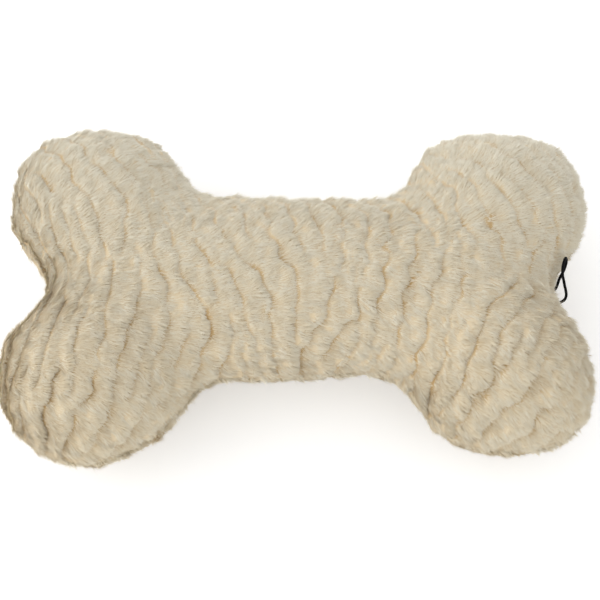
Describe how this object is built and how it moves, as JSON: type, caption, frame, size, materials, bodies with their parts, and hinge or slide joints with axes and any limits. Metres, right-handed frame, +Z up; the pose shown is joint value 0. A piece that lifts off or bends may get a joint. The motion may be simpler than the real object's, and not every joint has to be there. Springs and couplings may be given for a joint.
{
  "type": "squeaky dog toy",
  "caption": "Stuffed plush bone for dogs: carved fur cover in two sewn halves, fibre fill, a squeaker in the shaft and a cord loop for hanging.",
  "frame": {"origin": "on the floor under the middle of the bone, which lies flat on its four knobs", "axes": "+X along the bone's length, towards the end with the hanging loop; +Y across it; +Z up through its thickness"},
  "size_m": [0.3, 0.183, 0.0848],
  "materials": {
    "cream_fur": "matte",
    "thread": "matte",
    "black_cord": "matte",
    "fibre_fill": "matte",
    "soft_plastic": "satin",
    "hard_plastic": "satin",
    "reed_film": "gloss"
  },
  "bodies": {
    "toy": {"top_fur_panel": "cream_fur", "bottom_fur_panel": "cream_fur", "needle_thread": "thread", "bobbin_thread": "thread", "hang_loop_knot": "black_cord", "knob_fill_rear_right": "fibre_fill", "knob_fill_front_right": "fibre_fill", "knob_fill_rear_left": "fibre_fill", "knob_fill_front_left": "fibre_fill", "shaft_fill_upper": "fibre_fill", "shaft_fill_lower": "fibre_fill", "squeaker_bulb": "soft_plastic"},
    "reed_unit": {"reed_sleeve": "hard_plastic", "reed_bed": "hard_plastic"},
    "reed": {"reed": "reed_film"},
    "hang_loop": {"hang_loop": "black_cord"}
  },
  "joints": [
    {"name": "squeeze", "type": "slide", "parent": "toy", "child": "reed_unit", "axis": [0, 0, -1], "range_m": [0, 0.006], "stiffness_N_per_m": 1500, "deforming": ["squeaker_bulb", "top_fur_panel", "shaft_fill_upper", "knob_fill_rear_right", "knob_fill_front_right", "knob_fill_rear_left", "knob_fill_front_left"]},
    {"name": "reed_flex", "type": "hinge", "parent": "reed_unit", "child": "reed", "pos_m": [0, 0, 0.0532], "axis": [1, 0, 0], "range_deg": [-4, 4], "stiffness_Nm_per_rad": 0.0001},
    {"name": "hang_loop_swing", "type": "hinge", "parent": "toy", "child": "hang_loop", "pos_m": [0.1327, -0.0034, 0.042], "axis": [-0.3457, 0.9383, 0], "range_deg": [-30, 60]}
  ]
}
